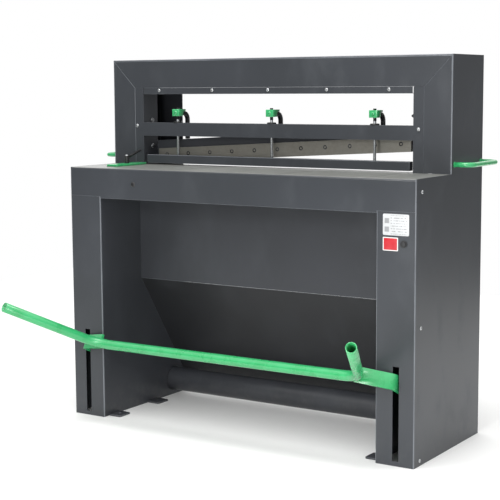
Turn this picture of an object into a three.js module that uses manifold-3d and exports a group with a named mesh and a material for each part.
// Foot-operated sheet metal shear: a sheet-steel frame with a table, a guarded knife beam that
// slides down past a fixed lower knife, a sprung hold-down bar and a U-shaped treadle bar.
// Millimetres. +X to the machine's right, +Y to its rear, +Z up.
import * as THREE from 'three';
import { mergeVertices } from 'three/addons/utils/BufferGeometryUtils.js';
import Module from 'manifold-3d';

const wasm = await Module();
wasm.setup();

// ---------------------------------------------------------------- driving dimensions
const WIDTH = 1362;            // outer faces of the two side sheets
const DEPTH = 506;             // leg fronts to the rear edge
const HEIGHT = 1280;           // floor to the top cover
const TABLE_Z = 900;           // working height
const LEG_WIDTH = 134;         // each leg and column, outer face to inner face
const COLUMN_Y = 256;          // front face of the columns
const SHEET = 3;               // casing sheet thickness
const THIN = 2;                // guard and chute sheet thickness
const GAP = 0.3;               // clearance left between neighbouring pieces

const APRON_BOTTOM = 793;
const SEAM_Z = 799;            // joint between the leg fronts and the apron
const BEND_R = 6;              // outside radius of the table's front bend
const SLOT = { x: 64, width: 22, bottom: 15, top: 317 };
const LUG = { out: 50, length: 62, thick: 6, hole: 6, corner: 4 };

const FRAME_EDGE = 99;         // width of the column fronts
const TOP_BAND = 101;          // height of the top front panel
const STRIP_BOTTOM = 1156;     // screw strip under the top panel
const WINDOW_EDGE = 136;       // inner edge of the guard's side strips
const CROSSBAR = { bottom: 1005, top: 1053, rear: 286 };

const KNIFE_PLANE = 307;       // front face of the upper knife, where the two knives pass
const KNIFE = { from: 167, to: 1195, height: 50, thick: 15, bottomAtLeft: 905.5 };
const RAKE = Math.tan(THREE.MathUtils.degToRad(3.3));
const BEAM_PLATE = { from: 150, to: 1212, height: 80, thick: 15 };
const BEAM_BOX = { front: 352, rear: 427, bottom: 906, top: 981, wall: 6, inset: 30, height: 66, end: 140 };
const BEAM_RIB = { count: 5, margin: 40, thick: 10, low: 12, high: 60 };

const ROD_PITCH = 399.5;
const ROD = { y: 270, r: 5, top: 1107 };
const HOLD_DOWN = { from: 149, to: 1213, front: 258.6, rear: 284, bottom: 906, top: 936 };
const CLAMP = { width: 30, front: 256, rear: 285, bottom: 1077, top: 1102, finger: 299 };
const LIFT_ARM = { thick: 12, front: 322.6, rear: 337, top: 1094, tip: 291 };

const TUBE = { y: 430, z: 62, r: 44.45, wall: 5 };
const ARM = { x: 62, thick: 10, height: 50, angle: 25.3, hubR: 58, hubWidth: 24, taper: 150 };
const BEARING = { wall: 13, width: 24, flange: 8, flangeWidth: 40, reach: 68, rise: 74 };
const STRAP = { reach: 475.6, bendR: 26, bend: 66, end: 173 };
const BAR = { y: -63, z: 285, bendX: 158, r: 17, wall: 3.2, bendR: 90 };
const BAR_END = { out: 140, forward: 314, up: 163 };
const CRANK = { r: 195, angle: 25.5, pinR: 8 };
const PULL_ROD = { x: 78, thick: 8, width: 30 };
const UPPER_PIN = { y: 300, z: 945, r: 6 };
const RETURN_SPRING = { x: 62, y: 389, r: 15, wire: 2.6, turns: 9 };
const SHELF = { top: 706, thick: 6, front: 330, rear: 412, outer: 36 };
const RAIL = { x: 121.5, thick: 18, front: 300, rear: 325, top: 1130 };

const HANDLE = { z: 930, r: 8, out: 60, front: 278, rear: 490, bendR: 26 };
const STOP = { from: 104, to: 150, front: 78, rear: 250, thick: 8 };
const LEVER = { x: 135, y: 155, hubR: 9, hubTop: 936, reach: 66 };
const CHUTE = { y: 230, foldZ: 480, rearY: 498, rearZ: 78 };

// ---------------------------------------------------------------- materials
const paint = new THREE.MeshStandardMaterial({ color: 0x4b4f54, roughness: 0.45, metalness: 0.1 });
const darkPaint = new THREE.MeshStandardMaterial({ color: 0x2e3033, roughness: 0.5, metalness: 0.1 });
const green = new THREE.MeshStandardMaterial({ color: 0x3fc074, roughness: 0.3, metalness: 0.05 });
const toolSteel = new THREE.MeshStandardMaterial({ color: 0x8a877f, roughness: 0.4, metalness: 0.9 });
const brightSteel = new THREE.MeshStandardMaterial({ color: 0xb9bbbd, roughness: 0.3, metalness: 1 });
const black = new THREE.MeshStandardMaterial({ color: 0x1b1b1c, roughness: 0.5, metalness: 0.2 });
const castIron = new THREE.MeshStandardMaterial({ color: 0x3c3c3e, roughness: 0.6, metalness: 0.6 });

// ---------------------------------------------------------------- solids
function solid(geometry) {
  const bare = geometry.index ? geometry.toNonIndexed() : geometry.clone();
  bare.deleteAttribute('normal');
  bare.deleteAttribute('uv');
  const merged = mergeVertices(bare, 1e-4);
  return new wasm.Manifold(new wasm.Mesh({
    numProp: 3,
    vertProperties: new Float32Array(merged.attributes.position.array),
    triVerts: new Uint32Array(merged.index.array),
  }));
}

function geometryOf(manifold) {
  const mesh = manifold.getMesh();
  const geometry = new THREE.BufferGeometry();
  geometry.setAttribute('position', new THREE.BufferAttribute(mesh.vertProperties, 3));
  geometry.setIndex(new THREE.BufferAttribute(mesh.triVerts, 1));
  return geometry;
}

function join(first, ...others) {
  return others.reduce((sum, other) => sum.add(other), first);
}

function cut(first, ...others) {
  return others.reduce((rest, other) => rest.subtract(other), first);
}

// a box between two values on each axis, in either order
function box([x0, x1], [y0, y1], [z0, z1]) {
  const geometry = new THREE.BoxGeometry(Math.abs(x1 - x0), Math.abs(y1 - y0), Math.abs(z1 - z0));
  geometry.translate((x0 + x1) / 2, (y0 + y1) / 2, (z0 + z1) / 2);
  return solid(geometry);
}

const AXES = {
  x: new THREE.Vector3(1, 0, 0),
  y: new THREE.Vector3(0, 1, 0),
  z: new THREE.Vector3(0, 0, 1),
};

function shapeOf(points) {
  return new THREE.Shape(points.map(([u, v]) => new THREE.Vector2(u, v)));
}

// an outline in the YZ plane, from one X to another
function plateX(points, from, to) {
  const low = Math.min(from, to);
  const depth = Math.abs(to - from);
  const geometry = new THREE.ExtrudeGeometry(shapeOf(points), { depth, bevelEnabled: false });
  geometry.applyMatrix4(new THREE.Matrix4().makeBasis(AXES.y, AXES.z, AXES.x));
  geometry.translate(low, 0, 0);
  return solid(geometry);
}

// an outline in the XZ plane, from one Y to another
function plateY(points, from, to) {
  const high = Math.max(from, to);
  const depth = Math.abs(to - from);
  const geometry = new THREE.ExtrudeGeometry(shapeOf(points), { depth, bevelEnabled: false });
  const rearward = AXES.y.clone().negate();
  geometry.applyMatrix4(new THREE.Matrix4().makeBasis(AXES.x, AXES.z, rearward));
  geometry.translate(0, high, 0);
  return solid(geometry);
}

// an outline in the XY plane, from one Z to another
function plateZ(points, from, to) {
  const geometry = new THREE.ExtrudeGeometry(shapeOf(points), { depth: to - from, bevelEnabled: false });
  geometry.translate(0, 0, from);
  return solid(geometry);
}

function rod(axis, centre, r, from, to, sides = 24) {
  const length = Math.abs(to - from);
  const middle = (from + to) / 2;
  const geometry = new THREE.CylinderGeometry(r, r, length, sides);
  if (axis === 'x') {
    geometry.rotateZ(Math.PI / 2);
    geometry.translate(middle, centre[0], centre[1]);
  } else if (axis === 'y') {
    geometry.translate(centre[0], middle, centre[1]);
  } else {
    geometry.rotateX(Math.PI / 2);
    geometry.translate(centre[0], centre[1], middle);
  }
  return solid(geometry);
}

// points of an arc, angles in degrees
function arc(cu, cv, r, from, to, steps) {
  const points = [];
  for (let i = 0; i <= steps; i += 1) {
    const a = THREE.MathUtils.degToRad(from + ((to - from) * i) / steps);
    points.push([cu + r * Math.cos(a), cv + r * Math.sin(a)]);
  }
  return points;
}

// a path through chosen stations, so that bends get more steps than straights
class StationPath extends THREE.Curve {
  constructor(stations) {
    super();
    this.stations = stations;
  }

  getPoint(t, target = new THREE.Vector3()) {
    const last = this.stations.length - 1;
    const place = Math.min(Math.max(t, 0), 1) * last;
    const i = Math.min(Math.floor(place), last - 1);
    return target.lerpVectors(this.stations[i], this.stations[i + 1], place - i);
  }

  getPointAt(u, target) {
    return this.getPoint(u, target);
  }

  getTangentAt(u, target) {
    return this.getTangent(u, target);
  }
}

// straight runs between corners, each corner rounded to the given radius
function rounded(corners, radius, steps) {
  const stations = [corners[0].clone()];
  for (let i = 1; i < corners.length - 1; i += 1) {
    const before = corners[i - 1].clone().sub(corners[i]).normalize();
    const after = corners[i + 1].clone().sub(corners[i]).normalize();
    const half = before.angleTo(after) / 2;
    const setback = radius / Math.tan(half);
    const centre = before.clone().add(after).normalize().multiplyScalar(radius / Math.sin(half));
    centre.add(corners[i]);
    const start = corners[i].clone().addScaledVector(before, setback).sub(centre);
    const axis = new THREE.Vector3().crossVectors(after, before).normalize();
    const sweep = Math.PI - 2 * half;
    for (let k = 0; k <= steps; k += 1) {
      const turned = start.clone().applyAxisAngle(axis, (sweep * k) / steps);
      stations.push(turned.add(centre));
    }
  }
  stations.push(corners[corners.length - 1].clone());
  return new StationPath(stations);
}

function swept(path, r, bore, sides) {
  const shape = new THREE.Shape();
  shape.absarc(0, 0, r, 0, Math.PI * 2, false);
  if (bore > 0) {
    const hole = new THREE.Path();
    hole.absarc(0, 0, bore, 0, Math.PI * 2, true);
    shape.holes.push(hole);
  }
  const steps = path.stations.length - 1;
  const geometry = new THREE.ExtrudeGeometry(shape, {
    steps, curveSegments: sides, extrudePath: path, bevelEnabled: false,
  });
  return solid(geometry);
}

const vec = (x, y, z) => new THREE.Vector3(x, y, z);

// the left side's X value, or its mirror image on the right
const SIDES = [
  { name: 'left', at: (x) => x },
  { name: 'right', at: (x) => WIDTH - x },
];
const spanOf = (side, a, b) => [side.at(a), side.at(b)];

const model = new THREE.Group();

function add(name, manifold, material) {
  const mesh = new THREE.Mesh(geometryOf(manifold), material);
  mesh.name = name;
  model.add(mesh);
}

// ---------------------------------------------------------------- legs and side sheets
const REAR_FLANGE = 28;

function sideSheet(side) {
  const outline = [
    [0, 0], [DEPTH, 0], [DEPTH, HEIGHT], [COLUMN_Y, HEIGHT], [COLUMN_Y, TABLE_Z], [0, TABLE_Z],
  ];
  const sheet = plateX(outline, ...spanOf(side, 0, SHEET));
  const rearFlange = box(
    spanOf(side, SHEET, REAR_FLANGE), [DEPTH - SHEET, DEPTH], [TABLE_Z, HEIGHT - SHEET - GAP],
  );
  const frontFlange = box(spanOf(side, SHEET - 1, SLOT.x - SLOT.width / 2), [0, SHEET], [0, SEAM_Z - GAP]);
  add(`${side.name}_side_sheet`, join(sheet, rearFlange, frontFlange), paint);
}

// the leg front meets the side sheet's front flange on the slot's outer edge
function legFront(side) {
  const from = SLOT.x - SLOT.width / 2 + GAP;
  const sheet = box(spanOf(side, from, LEG_WIDTH), [0, SHEET], [0, SEAM_Z - GAP]);
  const slot = box(
    spanOf(side, from - SHEET, SLOT.x + SLOT.width / 2),
    [-SHEET, 2 * SHEET],
    [SLOT.bottom, SLOT.top],
  );
  add(`${side.name}_leg_front`, cut(sheet, slot), paint);
}

const NOTCH = { front: 345, rear: 434, bottom: 820 };

function innerSheet(side) {
  const top = TABLE_Z - SHEET - GAP;
  const columnTop = HEIGHT - SHEET - GAP;
  const front = COLUMN_Y + SHEET + GAP;
  const outline = [
    [SHEET + GAP, 0], [DEPTH - SHEET - GAP, 0], [DEPTH - SHEET - GAP, top], [NOTCH.rear, top],
    [NOTCH.rear, NOTCH.bottom], [NOTCH.front, NOTCH.bottom], [NOTCH.front, columnTop],
    [front, columnTop], [front, top], [2 * BEND_R, top], [SHEET + GAP, top - 2 * BEND_R],
  ];
  const sheet = plateX(outline, ...spanOf(side, LEG_WIDTH - SHEET, LEG_WIDTH));
  const through = spanOf(side, LEG_WIDTH - 2 * SHEET, LEG_WIDTH + SHEET);
  const passage = rod('x', [TUBE.y, TUBE.z], TUBE.r + 3, ...through, 40);
  add(`${side.name}_inner_sheet`, cut(sheet, passage), darkPaint);
}

function legRearCover(side) {
  const span = spanOf(side, SHEET + GAP, LEG_WIDTH);
  add(`${side.name}_leg_rear_cover`, box(span, [DEPTH - SHEET, DEPTH], [0, TABLE_Z - SHEET - GAP]), paint);
}

function floorLug(side, end, y) {
  const x0 = LEG_WIDTH + GAP;
  const { corner } = LUG;
  const outline = [
    [side.at(x0), y], [side.at(x0 + LUG.out - corner), y], [side.at(x0 + LUG.out), y + corner],
    [side.at(x0 + LUG.out), y + LUG.length - corner], [side.at(x0 + LUG.out - corner), y + LUG.length],
    [side.at(x0), y + LUG.length],
  ];
  const plate = plateZ(outline, 0, LUG.thick);
  const centre = [side.at(x0 + LUG.out / 2), y + LUG.length / 2];
  const hole = rod('z', centre, LUG.hole, -LUG.thick, 2 * LUG.thick, 32);
  add(`${side.name}_${end}_floor_lug`, cut(plate, hole), darkPaint);
}

for (const side of SIDES) {
  sideSheet(side);
  legFront(side);
  innerSheet(side);
  legRearCover(side);
  floorLug(side, 'front', 26);
  floorLug(side, 'rear', 258);
}

// ---------------------------------------------------------------- table, apron and lower knife
const LOWER_KNIFE = { thick: 16, height: 40 };
const knifeFront = KNIFE_PLANE - GAP - LOWER_KNIFE.thick;

function tableAndApron() {
  const rear = COLUMN_Y - GAP;
  const inner = BEND_R - SHEET;
  const profile = [
    [0, APRON_BOTTOM],
    ...arc(BEND_R, TABLE_Z - BEND_R, BEND_R, 180, 90, 5),
    [rear, TABLE_Z],
    [rear, TABLE_Z - SHEET],
    ...arc(BEND_R, TABLE_Z - BEND_R, inner, 90, 180, 4),
    [SHEET, APRON_BOTTOM],
  ];
  const sheet = plateX(profile, SHEET + GAP, WIDTH - SHEET - GAP);
  const tongue = box(
    [LEG_WIDTH + GAP, WIDTH - LEG_WIDTH - GAP],
    [COLUMN_Y - 10, knifeFront - GAP],
    [TABLE_Z - SHEET, TABLE_Z],
  );
  const legPocket = SIDES.map((side) => box(
    spanOf(side, 0, LEG_WIDTH + GAP), [-SHEET, 2 * SHEET], [APRON_BOTTOM - SHEET, SEAM_Z],
  ));
  add('table_and_apron', cut(join(sheet, tongue), ...legPocket), paint);
}

const bedTop = TABLE_Z - SHEET - GAP;
const between = [LEG_WIDTH + GAP, WIDTH - LEG_WIDTH - GAP];
const CHUTE_TOP = 836;

function tableBeam() {
  const seat = box(between, [CHUTE.y + THIN + GAP, knifeFront - GAP], [CHUTE_TOP, bedTop]);
  const ledgeTop = TABLE_Z - LOWER_KNIFE.height - GAP;
  const ledge = box(between, [knifeFront - 1, KNIFE_PLANE - 2], [CHUTE_TOP, ledgeTop]);
  add('table_beam', join(seat, ledge), darkPaint);
}

function lowerKnife() {
  const span = [KNIFE.from - 20, KNIFE.to + 20];
  const heights = [TABLE_Z - LOWER_KNIFE.height, TABLE_Z];
  add('lower_knife', box(span, [knifeFront, KNIFE_PLANE - GAP], heights), toolSteel);
}

tableAndApron();
tableBeam();
lowerKnife();

// ---------------------------------------------------------------- columns and top casing
const faceRear = COLUMN_Y + SHEET;
const caseTop = HEIGHT - SHEET - GAP;
const topBottom = HEIGHT - TOP_BAND;

function columnFront(side) {
  const seam = 0.6;
  const outline = [
    [side.at(SHEET + GAP), TABLE_Z + GAP],
    [side.at(FRAME_EDGE), TABLE_Z + GAP],
    [side.at(FRAME_EDGE), topBottom - seam],
    [side.at(SHEET + GAP), HEIGHT - (SHEET + GAP) * (TOP_BAND / FRAME_EDGE) - seam],
  ];
  add(`${side.name}_column_front`, plateY(outline, COLUMN_Y, faceRear), paint);
}

function columnBack(side) {
  const span = spanOf(side, REAR_FLANGE + GAP, LEG_WIDTH);
  const sheet = box(span, [DEPTH - SHEET, DEPTH], [TABLE_Z, topBottom - GAP]);
  add(`${side.name}_column_back`, sheet, darkPaint);
}

function topFrontPanel() {
  const slope = TOP_BAND / FRAME_EDGE;
  const inset = (SHEET + GAP);
  const outline = [
    [FRAME_EDGE, topBottom], [WIDTH - FRAME_EDGE, topBottom],
    [WIDTH - inset, HEIGHT - inset * slope], [WIDTH - inset, caseTop], [inset, caseTop],
    [inset, HEIGHT - inset * slope],
  ];
  add('top_front_panel', plateY(outline, COLUMN_Y, faceRear), paint);
}

function topCover() {
  const span = [SHEET + GAP, WIDTH - SHEET - GAP];
  const lid = box(span, [COLUMN_Y, DEPTH], [HEIGHT - SHEET, HEIGHT]);
  const rearSpan = [REAR_FLANGE + GAP, WIDTH - REAR_FLANGE - GAP];
  const rearSheet = box(rearSpan, [DEPTH - SHEET, DEPTH], [topBottom, HEIGHT - 1]);
  add('top_cover', join(lid, rearSheet), paint);
}

function screwStrip() {
  const span = [WINDOW_EDGE + 3, WIDTH - WINDOW_EDGE - 3];
  const face = box(span, [COLUMN_Y + GAP, COLUMN_Y + GAP + THIN], [STRIP_BOTTOM, topBottom - GAP]);
  const sill = box(span, [COLUMN_Y + GAP, COLUMN_Y + 22], [STRIP_BOTTOM, STRIP_BOTTOM + THIN]);
  add('screw_strip', join(face, sill), paint);
}

const rodXs = [-1, 0, 1].map((step) => WIDTH / 2 + step * ROD_PITCH);

function guardPlate() {
  const front = COLUMN_Y + GAP;
  const edge = FRAME_EDGE + GAP;
  const strips = SIDES.map((side) => box(
    spanOf(side, edge, WINDOW_EDGE), [front, front + THIN], [TABLE_Z + GAP, topBottom - GAP],
  ));
  const across = [WINDOW_EDGE - 1, WIDTH - WINDOW_EDGE + 1];
  const web = box(across, [front, front + THIN], [CROSSBAR.bottom, CROSSBAR.top]);
  const inner = [WINDOW_EDGE + 1, WIDTH - WINDOW_EDGE - 1];
  const upper = box(inner, [front, CROSSBAR.rear], [CROSSBAR.top - THIN, CROSSBAR.top]);
  const lower = box(inner, [front, CROSSBAR.rear], [CROSSBAR.bottom, CROSSBAR.bottom + THIN]);
  const holes = rodXs.map((x) => rod('z', [x, ROD.y], ROD.r + 2, CROSSBAR.bottom - 9, CROSSBAR.top + 9));
  add('guard_plate', cut(join(...strips, web, upper, lower), ...holes), paint);
}

// a vertical rail with a shelf at its foot that the return spring stands on
function guideRail(side) {
  const span = spanOf(side, RAIL.x - RAIL.thick / 2, LEG_WIDTH - SHEET - GAP);
  const rail = box(span, [RAIL.front, RAIL.rear], [SHELF.top - SHELF.thick, RAIL.top]);
  const inner = LEG_WIDTH - SHEET - GAP;
  const outline = [
    [RAIL.x - RAIL.thick / 2, RAIL.front], [inner, RAIL.front], [inner, SHELF.rear],
    [SHELF.outer, SHELF.rear], [SHELF.outer, SHELF.front], [RAIL.x - RAIL.thick / 2, SHELF.front],
  ].map(([x, y]) => [side.at(x), y]);
  const shelf = plateZ(outline, SHELF.top - SHELF.thick, SHELF.top);
  add(`${side.name}_guide_rail`, join(rail, shelf), brightSteel);
}

for (const side of SIDES) {
  columnFront(side);
  columnBack(side);
  guideRail(side);
}
topFrontPanel();
topCover();
screwStrip();
guardPlate();

// ---------------------------------------------------------------- chute, handles and small fittings
function chutePanels() {
  const upper = box(between, [CHUTE.y, CHUTE.y + THIN], [CHUTE.foldZ + GAP, bedTop]);
  add('upper_chute_panel', upper, darkPaint);
  const run = new THREE.Vector2(CHUTE.rearY - CHUTE.y, CHUTE.rearZ - CHUTE.foldZ).normalize();
  const lift = [-run.y * THIN, run.x * THIN];
  const outline = [
    [CHUTE.y, CHUTE.foldZ],
    [CHUTE.rearY, CHUTE.rearZ],
    [CHUTE.rearY + lift[0], CHUTE.rearZ + lift[1]],
    [CHUTE.y + lift[0], CHUTE.foldZ],
  ];
  add('lower_chute_panel', plateX(outline, ...between), darkPaint);
}

function sideHandle(side) {
  const face = -GAP;
  const corners = [
    vec(side.at(face), HANDLE.front, HANDLE.z),
    vec(side.at(-HANDLE.out), HANDLE.front, HANDLE.z),
    vec(side.at(-HANDLE.out), HANDLE.rear, HANDLE.z),
    vec(side.at(face), HANDLE.rear, HANDLE.z),
  ];
  add(`${side.name}_side_handle`, swept(rounded(corners, HANDLE.bendR, 6), HANDLE.r, 0, 8), green);
}

// a flanged ring bolted to the inner sheet, carrying one end of the tube
function tubeBearing(side) {
  const { wall, width, flange, flangeWidth, reach, rise } = BEARING;
  const inner = LEG_WIDTH - SHEET - GAP;
  const plate = spanOf(side, inner - flange, inner);
  const half = flangeWidth / 2;
  const ring = rod('x', [TUBE.y, TUBE.z], TUBE.r + wall, side.at(inner - width), side.at(inner), 40);
  const upright = box(plate, [TUBE.y - half, TUBE.y + half], [TUBE.z - TUBE.r - wall - 2, TUBE.z + rise]);
  const level = box(plate, [TUBE.y - reach, TUBE.y + reach], [TUBE.z - half, TUBE.z + half]);
  const boreEnds = [side.at(inner - 2 * width), side.at(inner + width)];
  const bore = rod('x', [TUBE.y, TUBE.z], TUBE.r + GAP, ...boreEnds, 48);
  add(`${side.name}_tube_bearing`, cut(join(ring, upright, level), bore), castIron);
}

function legPlug() {
  const centre = [1322, 701];
  const collar = rod('y', centre, 11, -4, -GAP, 24);
  const cap = rod('y', centre, 8, -9, -3, 24);
  add('leg_plug', join(collar, cap), black);
}

function sideStop() {
  const heights = [TABLE_Z + GAP, TABLE_Z + STOP.thick];
  const bar = box([STOP.from, STOP.to], [STOP.front, STOP.rear], heights);
  add('side_stop_bar', bar, green);
  const base = TABLE_Z + STOP.thick + GAP;
  const hub = rod('z', [LEVER.x, LEVER.y], LEVER.hubR, base, LEVER.hubTop, 20);
  const path = new StationPath([
    vec(LEVER.x, LEVER.y, LEVER.hubTop - 8),
    vec(LEVER.x + 4, LEVER.y + 22, LEVER.hubTop),
    vec(LEVER.x + 12, LEVER.y + LEVER.reach, LEVER.hubTop + 18),
  ]);
  add('clamp_lever', join(hub, swept(path, 4.5, 0, 6)), black);
}

chutePanels();
for (const side of SIDES) {
  sideHandle(side);
  tubeBearing(side);
}
legPlug();
sideStop();

// ---------------------------------------------------------------- treadle
const treadlePath = rounded([
  vec(BAR.bendX - BAR_END.out, BAR.y - BAR_END.forward, BAR.z + BAR_END.up),
  vec(BAR.bendX, BAR.y, BAR.z),
  vec(WIDTH - BAR.bendX, BAR.y, BAR.z),
  vec(WIDTH - BAR.bendX + BAR_END.out, BAR.y - BAR_END.forward, BAR.z + BAR_END.up),
], BAR.bendR, 7);

function torqueTube() {
  const ends = [36, WIDTH - 36];
  const outer = rod('x', [TUBE.y, TUBE.z], TUBE.r, ...ends, 40);
  const bore = rod('x', [TUBE.y, TUBE.z], TUBE.r - TUBE.wall, ends[0] - 5, ends[1] + 5, 40);
  add('torque_tube', cut(outer, bore), darkPaint);
}

const crankPin = (() => {
  const a = THREE.MathUtils.degToRad(CRANK.angle);
  return [TUBE.y - CRANK.r * Math.cos(a), TUBE.z + CRANK.r * Math.sin(a)];
})();

// a solid drawn with -Y along the lever, turned to the lever's slope about the tube
function onLever(manifold) {
  return manifold.rotate([-ARM.angle, 0, 0]).translate([0, TUBE.y, TUBE.z]);
}

// a flat lever on the tube, its front end bent inwards into a strap that ends at the bar
function leverArm(side) {
  const half = ARM.height / 2;
  const outer = ARM.x - ARM.thick / 2;
  const inner = ARM.x + ARM.thick / 2;
  const start = STRAP.reach - 5;
  const rim = ARM.hubR - 4;
  const plate = plateX([
    [0, -rim], [0, rim], [-ARM.taper, half], [-start, half], [-start, -half], [-ARM.taper, -half],
  ], side.at(outer), side.at(inner));
  const bend = THREE.MathUtils.degToRad(STRAP.bend);
  const turned = 180 - STRAP.bend;
  const centre = outer + STRAP.bendR;
  const outside = arc(centre, STRAP.reach, STRAP.bendR, 180, turned, 7);
  const [lastX, lastU] = outside[outside.length - 1];
  const run = (STRAP.end - lastX) / Math.sin(bend);
  const endU = lastU + run * Math.cos(bend);
  const strap = plateZ([
    [outer, start - 1],
    ...outside,
    [STRAP.end, endU],
    [STRAP.end + ARM.thick * Math.cos(bend), endU - ARM.thick * Math.sin(bend)],
    ...arc(centre, STRAP.reach, STRAP.bendR - ARM.thick, turned, 180, 6),
    [inner, start - 1],
  ].map(([x, u]) => [side.at(x), -u]), -half, half);
  const hubSpan = spanOf(side, ARM.x - ARM.hubWidth / 2, ARM.x + ARM.hubWidth / 2);
  const hub = rod('x', [0, 0], ARM.hubR, ...hubSpan, 36);
  const bore = rod('x', [TUBE.y, TUBE.z], TUBE.r + GAP, side.at(ARM.x - 40), side.at(ARM.x + 40), 40);
  const pin = rod('x', crankPin, CRANK.pinR, side.at(ARM.x), side.at(PULL_ROD.x + 10), 20);
  const arm = join(onLever(join(plate, strap, hub)), pin);
  add(`${side.name}_lever_arm`, cut(arm, bore, swept(treadlePath, BAR.r + GAP, 0, 12)), green);
}

torqueTube();
for (const side of SIDES) {
  leverArm(side);
}
add('treadle_bar', swept(treadlePath, BAR.r, BAR.r - BAR.wall, 11), green);

// ---------------------------------------------------------------- pull rods
function pullRod(side) {
  const [lowY, lowZ] = crankPin;
  const span = spanOf(side, PULL_ROD.x - PULL_ROD.thick / 2, PULL_ROD.x + PULL_ROD.thick / 2);
  const along = new THREE.Vector2(UPPER_PIN.y - lowY, UPPER_PIN.z - lowZ);
  const across = new THREE.Vector2(along.y, -along.x).normalize().multiplyScalar(PULL_ROD.width / 2 - 3);
  const bar = plateX([
    [lowY + across.x, lowZ + across.y], [UPPER_PIN.y + across.x, UPPER_PIN.z + across.y],
    [UPPER_PIN.y - across.x, UPPER_PIN.z - across.y], [lowY - across.x, lowZ - across.y],
  ], ...span);
  const lowEye = rod('x', crankPin, PULL_ROD.width / 2 + 2, ...span, 28);
  const highEye = rod('x', [UPPER_PIN.y, UPPER_PIN.z], PULL_ROD.width / 2 + 4, ...span, 28);
  const wide = spanOf(side, PULL_ROD.x - 20, PULL_ROD.x + 20);
  const lowBore = rod('x', crankPin, CRANK.pinR + GAP, ...wide, 24);
  const highBore = rod('x', [UPPER_PIN.y, UPPER_PIN.z], UPPER_PIN.r + 5.5, ...wide, 24);
  add(`${side.name}_pull_rod`, cut(join(bar, lowEye, highEye), lowBore, highBore), brightSteel);
}

for (const side of SIDES) {
  pullRod(side);
}

// a spring's wire as a helix about a vertical line
function helix(x, y, from, to, { r, turns }) {
  const perTurn = 9;
  const count = turns * perTurn;
  const stations = [];
  for (let i = 0; i <= count; i += 1) {
    const a = (i / perTurn) * Math.PI * 2;
    const z = from + ((to - from) * i) / count;
    stations.push(vec(x + r * Math.cos(a), y + r * Math.sin(a), z));
  }
  return new StationPath(stations);
}

// ---------------------------------------------------------------- knife beam
const knifeBottom = (x) => KNIFE.bottomAtLeft + (x - BEAM_PLATE.from) * RAKE;
const beamRear = KNIFE_PLANE + KNIFE.thick + GAP + BEAM_PLATE.thick;

function raked(from, to, low, high) {
  return [
    [from, knifeBottom(from) + low], [to, knifeBottom(to) + low],
    [to, knifeBottom(to) + high], [from, knifeBottom(from) + high],
  ];
}

// a channel, open to the rear, that rises with the rake between two upright ends
function knifeBeam() {
  const front = KNIFE_PLANE + KNIFE.thick + GAP;
  const plate = plateY(raked(BEAM_PLATE.from, BEAM_PLATE.to, 2, BEAM_PLATE.height), front, beamRear);
  const { inset, wall, height, end } = BEAM_BOX;
  const ys = [BEAM_BOX.front, BEAM_BOX.rear];
  const [left, right] = [end, WIDTH - end];
  const rightTop = knifeBottom(right) + height;
  const channel = plateY(raked(left, right, 2, height), ...ys);
  const hollow = plateY(raked(left, right, 2 + wall, height - wall), ys[0] + wall, ys[1] + wall);
  const leftEnd = box([inset, left + wall], ys, [BEAM_BOX.bottom, BEAM_BOX.top]);
  const rightEnd = box([right - wall, WIDTH - inset], ys, [BEAM_BOX.bottom, rightTop]);
  const { count, margin, thick, low, high } = BEAM_RIB;
  const ribs = Array.from({ length: count }, (_, i) => {
    const share = i / (count - 1);
    const x = THREE.MathUtils.lerp(BEAM_PLATE.from + margin, BEAM_PLATE.to - margin, share);
    return plateY(raked(x - thick / 2, x + thick / 2, low, high), beamRear - 1, ys[0] + 1);
  });
  add('knife_beam', join(cut(channel, hollow), leftEnd, rightEnd, plate, ...ribs), darkPaint);
}

function upperKnife() {
  const blade = plateY(raked(KNIFE.from, KNIFE.to, 0, KNIFE.height), KNIFE_PLANE, KNIFE_PLANE + KNIFE.thick);
  add('upper_knife', blade, toolSteel);
}

function liftArm(x, number) {
  const { front, rear, top, tip, thick } = LIFT_ARM;
  const depth = rear - front;
  const bend = 30;
  const beamTop = knifeBottom(x + thick / 2) + BEAM_PLATE.height;
  const outline = [
    [front, beamTop + GAP],
    [rear, beamTop + GAP],
    ...arc(rear - bend, top - bend, bend, 0, 90, 7),
    [tip, top],
    [tip, top - depth + 3],
    ...arc(rear - bend, top - bend, bend - depth, 90, 0, 6),
  ];
  add(`lift_arm_${number}`, plateX(outline, x - thick / 2, x + thick / 2), black);
}

function slideBlock(side) {
  const inner = RAIL.x - RAIL.thick / 2 - GAP;
  const outer = inner - 20;
  const tip = 129;
  const back = BEAM_BOX.front - GAP;
  const outline = [
    [outer, back], [tip, back], [tip, RAIL.rear + GAP], [inner, RAIL.rear + GAP],
    [inner, RAIL.front - GAP], [tip, RAIL.front - GAP], [tip, RAIL.front - 12], [outer, RAIL.front - 12],
  ].map(([x, y]) => [side.at(x), y]);
  const block = plateZ(outline, BEAM_BOX.bottom + 4, BEAM_BOX.top - 4);
  const pinEnds = [side.at(PULL_ROD.x - PULL_ROD.thick), side.at(outer + 2)];
  const pin = rod('x', [UPPER_PIN.y, UPPER_PIN.z], UPPER_PIN.r, ...pinEnds, 20);
  add(`${side.name}_slide_block`, join(block, pin), castIron);
}

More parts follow.
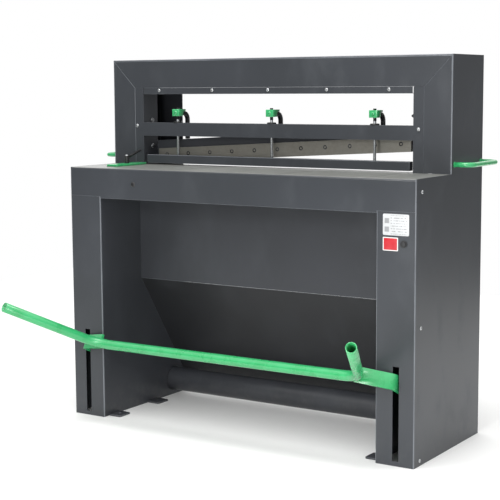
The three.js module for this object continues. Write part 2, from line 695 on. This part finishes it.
// compression spring from the rail's shelf up to the beam's end
function returnSpring(side) {
  const { x, y, wire } = RETURN_SPRING;
  const coil = helix(side.at(x), y, SHELF.top + wire + GAP, BEAM_BOX.bottom - wire - GAP, RETURN_SPRING);
  add(`${side.name}_return_spring`, swept(coil, wire, 0, 3), brightSteel);
}

knifeBeam();
upperKnife();
rodXs.forEach((x, i) => liftArm(x, i + 1));
for (const side of SIDES) {
  slideBlock(side);
  returnSpring(side);
}

// ---------------------------------------------------------------- hold-down
const COLLAR = { z: 1017, height: 4, r: 9 };
const SPRING = { r: 8, wire: 1.6, turns: 4 };

function holdDown() {
  const { from, to, front, rear, bottom, top } = HOLD_DOWN;
  add('hold_down_bar', box([from, to], [front, rear], [bottom, top]), paint);
  rodXs.forEach((x, i) => {
    const shaft = rod('z', [x, ROD.y], ROD.r, top + GAP, ROD.top, 16);
    const collar = rod('z', [x, ROD.y], COLLAR.r, COLLAR.z, COLLAR.z + COLLAR.height, 20);
    add(`hold_down_rod_${i + 1}`, join(shaft, collar), brightSteel);
    const half = CLAMP.width / 2;
    const outline = [
      [CLAMP.front, CLAMP.bottom], [CLAMP.rear - 4, CLAMP.bottom], [CLAMP.rear, LIFT_ARM.top + GAP],
      [CLAMP.finger, LIFT_ARM.top + GAP], [CLAMP.finger, CLAMP.top], [CLAMP.front, CLAMP.top],
    ];
    const block = plateX(outline, x - half, x + half);
    const bore = rod('z', [x, ROD.y], ROD.r + GAP, CLAMP.bottom - 5, CLAMP.top + 5, 16);
    add(`rod_clamp_${i + 1}`, cut(block, bore), green);
    const low = COLLAR.z + COLLAR.height + SPRING.wire + GAP;
    const high = CROSSBAR.top - THIN - SPRING.wire - GAP;
    add(`rod_spring_${i + 1}`, swept(helix(x, ROD.y, low, high, SPRING), SPRING.wire, 0, 3), brightSteel);
  });
}

holdDown();

// ---------------------------------------------------------------- origin: bottom centre of the outline
const bounds = new THREE.Box3().setFromObject(model);
const middle = bounds.getCenter(new THREE.Vector3());
model.position.set(-middle.x, -middle.y, -bounds.min.z);
const shear = new THREE.Group();
shear.add(model);

export default shear;
